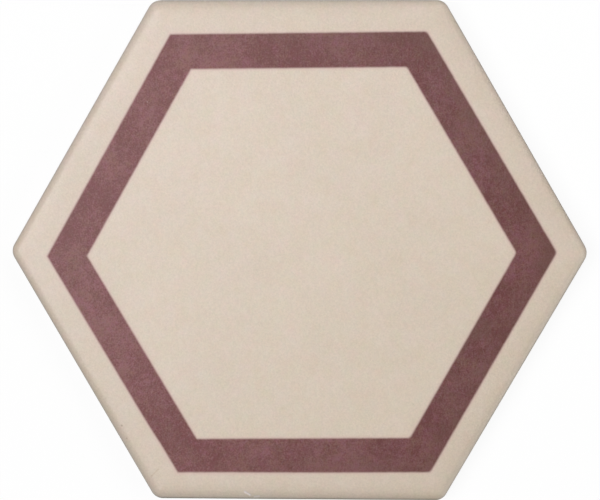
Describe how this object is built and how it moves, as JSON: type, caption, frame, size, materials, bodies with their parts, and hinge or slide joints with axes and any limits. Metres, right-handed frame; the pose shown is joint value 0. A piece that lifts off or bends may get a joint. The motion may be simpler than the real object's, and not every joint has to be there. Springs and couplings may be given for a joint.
{
  "type": "hexagonal floor tile",
  "caption": "Flat hexagonal ceramic floor tile with a rounded cushion rim, a plain hexagonal band round its face and a honeycomb key on its back, for laying in adhesive.",
  "frame": {"origin": "middle of the back, on the plane of its border and ribs", "axes": "+Z out of the walked-on face, +X at a corner, +Y at a flat side"},
  "size_m": [0.172, 0.15, 0.009],
  "materials": {
    "glazed_stoneware": "cream satin glaze with a reddish-brown band over a pale fired body, bare on the back"
  },
  "bodies": {
    "root": {"hexagon_tile": "glazed_stoneware"}
  },
  "joints": []
}
